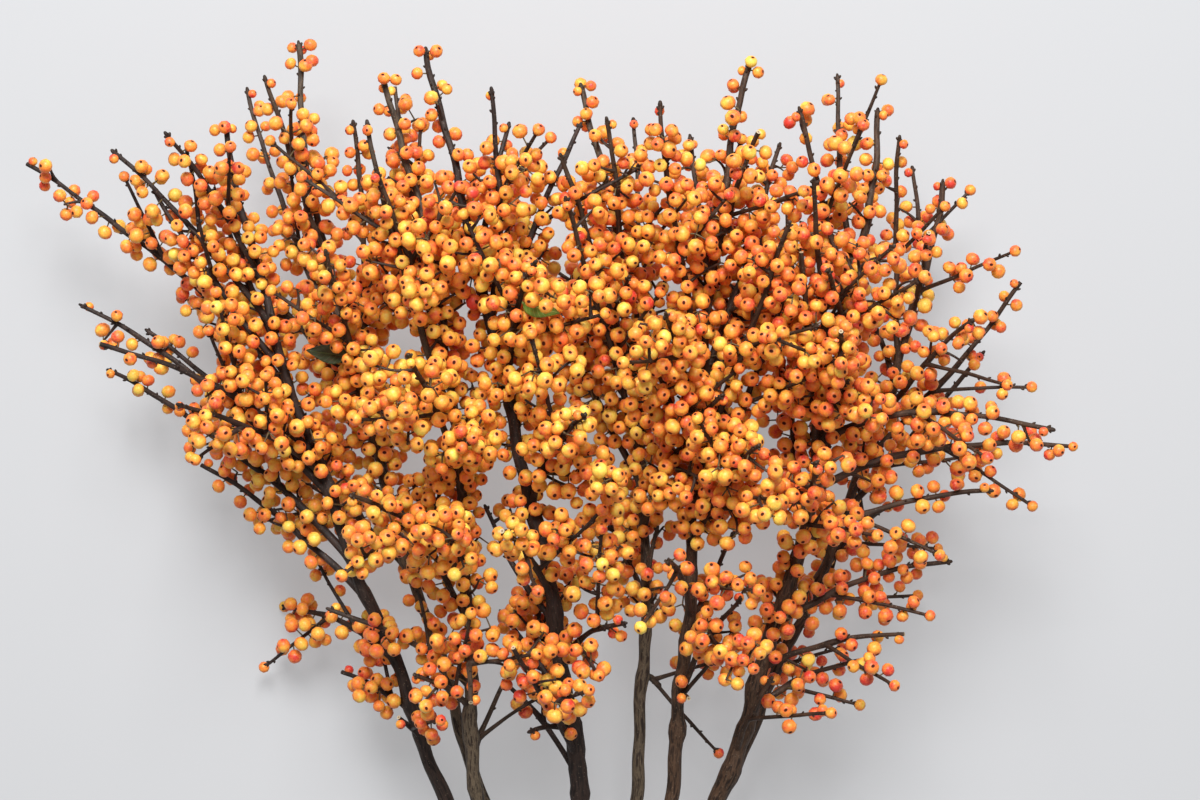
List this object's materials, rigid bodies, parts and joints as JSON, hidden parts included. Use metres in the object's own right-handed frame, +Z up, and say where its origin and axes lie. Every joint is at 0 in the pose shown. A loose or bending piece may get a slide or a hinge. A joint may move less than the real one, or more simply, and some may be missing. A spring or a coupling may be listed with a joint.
{
  "type": "bunch of cut winterberry branches",
  "caption": "Loose bunch of cut bare-wood branches set densely with small round gold and orange berries, lying on its side, butts together and tips fanned out.",
  "frame": {"origin": "under the middle of the bunch's box, on the surface that it lies on", "axes": "+Y along the stems towards the tips, +Z up off the surface, +X across the fan"},
  "size_m": [0.7024, 0.761, 0.266],
  "materials": {
    "branches": "berries satin and waxy, bark matt",
    "leaves": "thin green leaf, satin",
    "bark": "dark grey-brown bark, matt, furrowed on the old stems",
    "berries": "satin waxy fruit skin, gold to orange"
  },
  "bodies": {
    "root": {"branch_1": "branches", "branch_2": "branches", "branch_3": "branches", "branch_4": "branches", "branch_5": "branches", "branch_6": "branches", "branch_7": "branches", "branch_8": "branches", "leaf_1": "leaves", "leaf_2": "leaves"}
  },
  "joints": []
}
